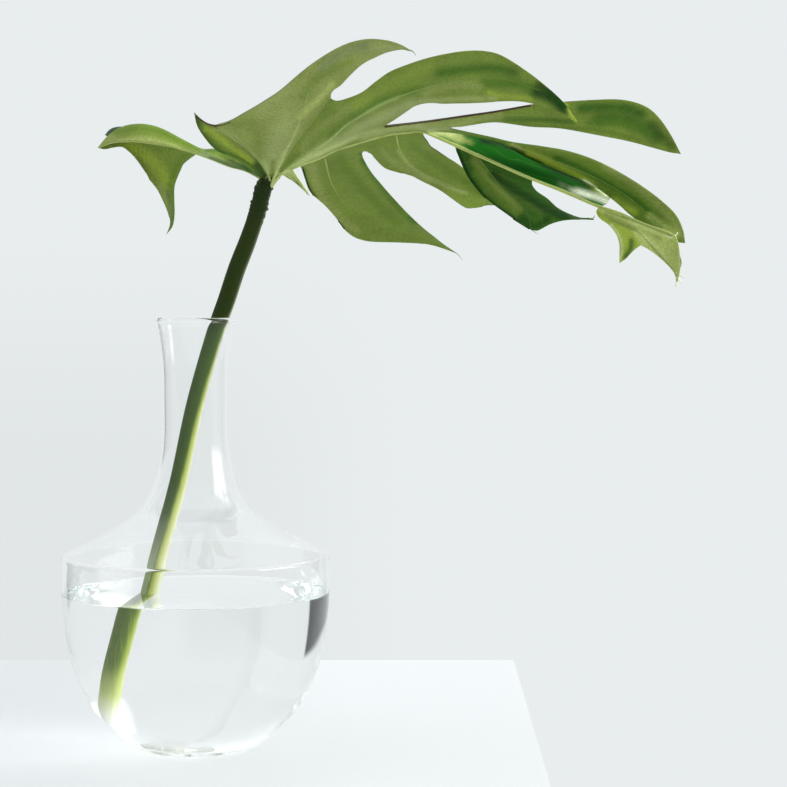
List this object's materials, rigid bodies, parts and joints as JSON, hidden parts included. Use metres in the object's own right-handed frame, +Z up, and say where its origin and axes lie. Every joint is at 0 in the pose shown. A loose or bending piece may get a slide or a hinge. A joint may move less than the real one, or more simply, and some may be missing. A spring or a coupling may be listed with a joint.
{
  "type": "monstera leaf in vase",
  "caption": "Cut monstera leaf with deeply split lobes on a long stalk, standing in a clear glass carafe of water.",
  "frame": {"origin": "centre of the carafe's foot, on the surface it stands on", "axes": "+Z up along the carafe's axis, +X towards the apex of the leaf, -Y towards the leaf's under side and the viewer"},
  "size_m": [0.3435, 0.1977, 0.3839],
  "materials": {
    "clear_glass": "clear and smooth",
    "water": "clear still water",
    "petiole": "fresh green stalk, slightly glossy",
    "leaf": "fresh leaf, satin under side and glossy upper side"
  },
  "bodies": {
    "root": {"vase": "clear_glass", "water": "water", "petiole": "petiole", "leaf_blade": "leaf"}
  },
  "joints": []
}
